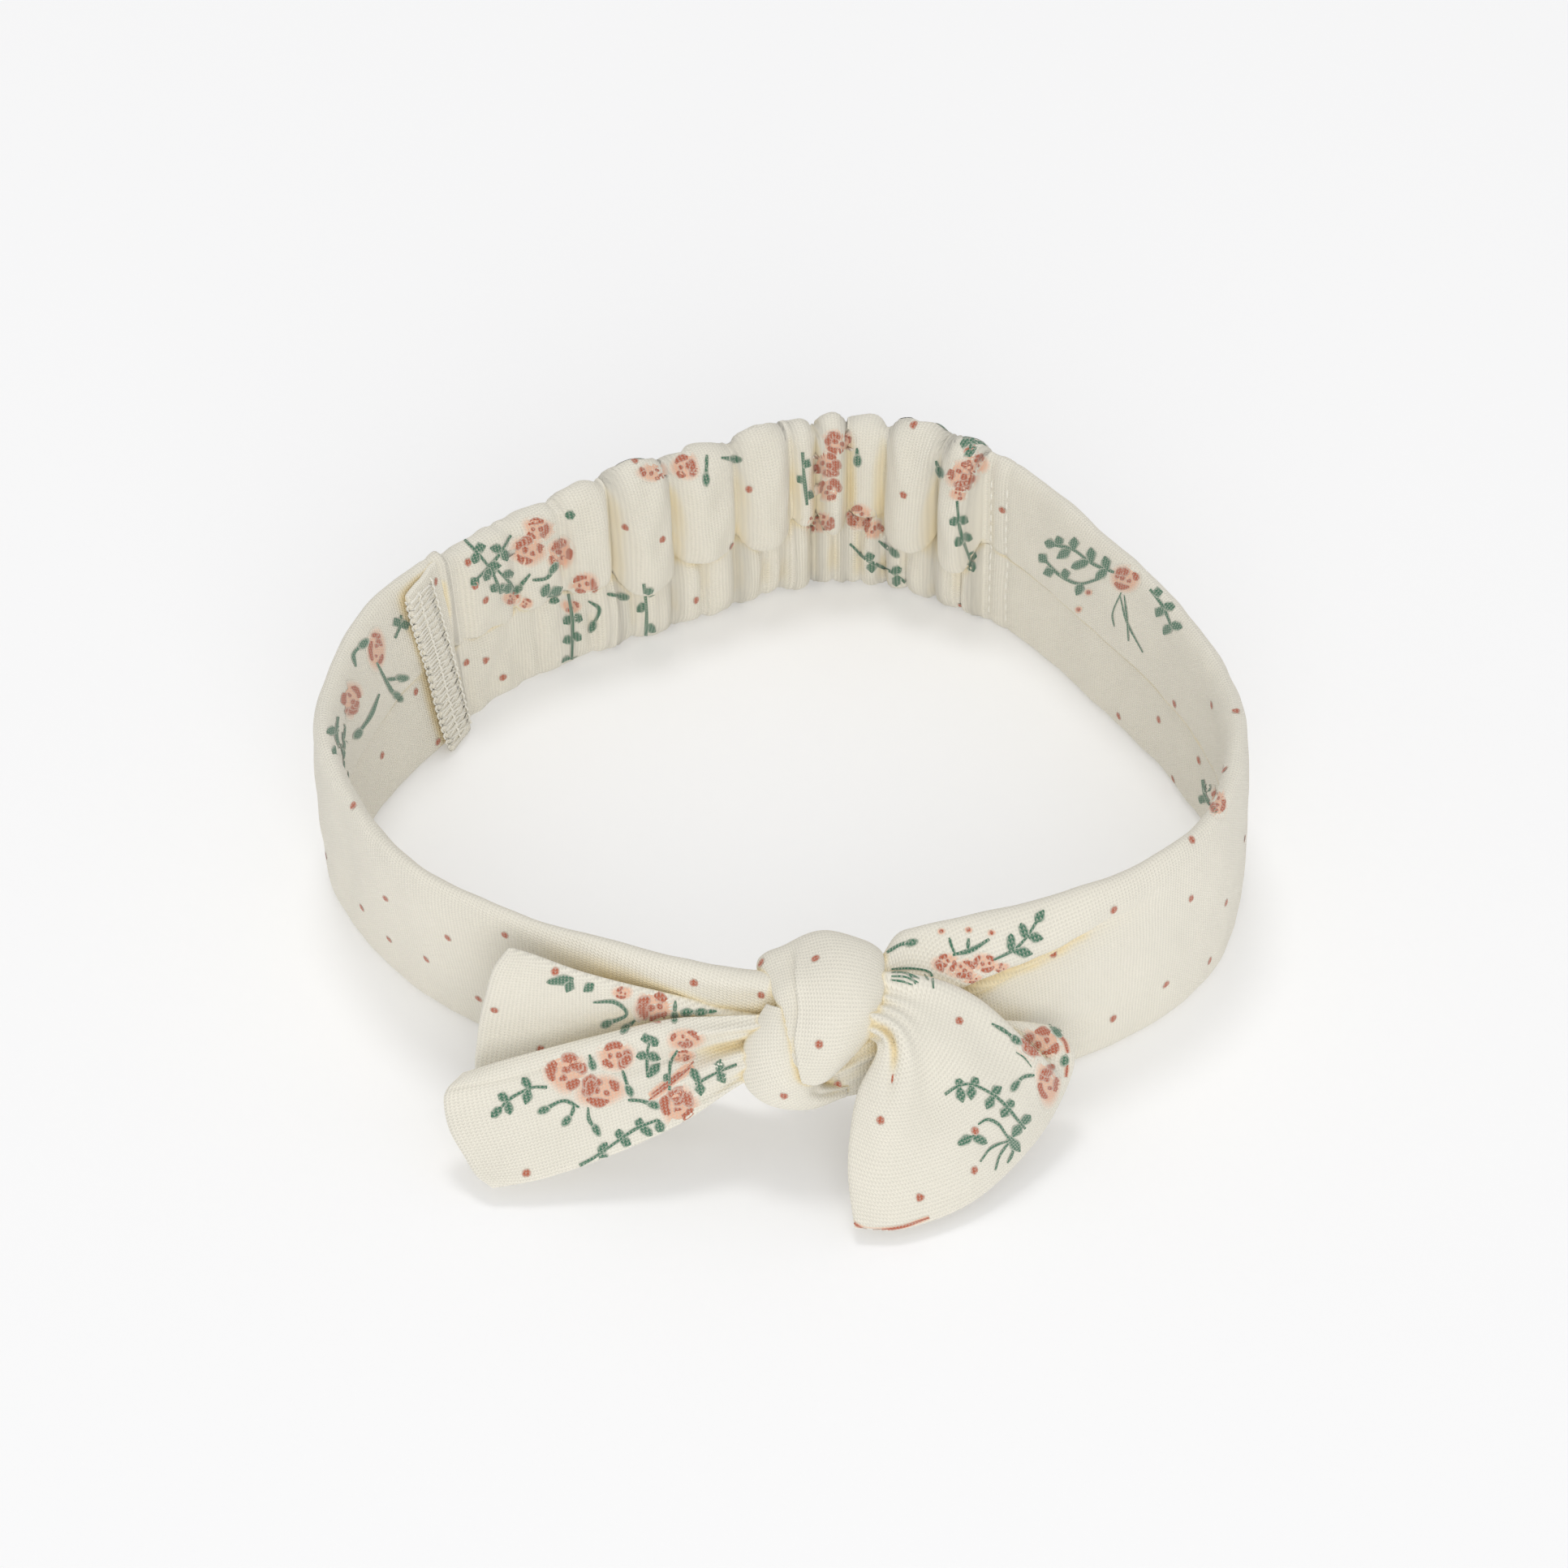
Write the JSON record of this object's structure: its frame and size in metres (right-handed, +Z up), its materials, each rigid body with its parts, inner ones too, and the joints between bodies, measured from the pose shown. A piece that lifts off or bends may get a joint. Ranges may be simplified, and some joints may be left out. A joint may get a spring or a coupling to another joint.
{
  "type": "knotted headband",
  "caption": "Baby headband of cream jersey with a small floral print: a band gathered over elastic at the back, closed by an overlocked seam, with a tie knotted round the front.",
  "frame": {"origin": "centre of the piece's footprint, on the surface it stands on", "axes": "+Z up, -Y towards the knot and its tails, +X to the wearer's left when the knot is over the forehead and seen from in front: the side of the shorter, slanted tail"},
  "size_m": [0.127, 0.1444, 0.0302],
  "materials": {
    "printed_jersey": "matt interlock cotton jersey, cream with a small rust, peach and green floral print",
    "knitted_elastic": "matt knitted elastic",
    "sewing_thread": "cream polyester sewing thread, slight sheen"
  },
  "bodies": {
    "front": {"band_front_right": "printed_jersey", "band_front_left": "printed_jersey", "band_knot_core": "printed_jersey", "lengthwise_seam_right": "printed_jersey", "lengthwise_seam_left": "printed_jersey", "overlock_seam_allowance": "printed_jersey", "overlock_thread": "sewing_thread", "knot_wrap": "printed_jersey", "knot_under_lobe": "printed_jersey"},
    "back": {"gathered_casing": "printed_jersey", "elastic_strip": "knitted_elastic", "lengthwise_seam_casing": "printed_jersey", "elastic_anchor_stitches": "sewing_thread"},
    "left_tail": {"left_tail_upper_ear": "printed_jersey", "left_tail_lower_ear": "printed_jersey"},
    "right_tail": {"right_tail_fold": "printed_jersey", "right_tail_panel": "printed_jersey"}
  },
  "joints": [
    {"name": "elastic_stretch", "type": "slide", "parent": "front", "child": "back", "axis": [0, 1, 0], "range_m": [0, 0.025], "stiffness_N_per_m": 120},
    {"name": "left_tail_lift", "type": "hinge", "parent": "front", "child": "left_tail", "pos_m": [-0.01034, -0.0554, 0.023], "axis": [0, 1, 0], "range_deg": [0, 70]},
    {"name": "right_tail_lift", "type": "hinge", "parent": "front", "child": "right_tail", "pos_m": [0.01446, -0.0534, 0.02], "axis": [-1, 0, 0], "range_deg": [0, 60]}
  ]
}
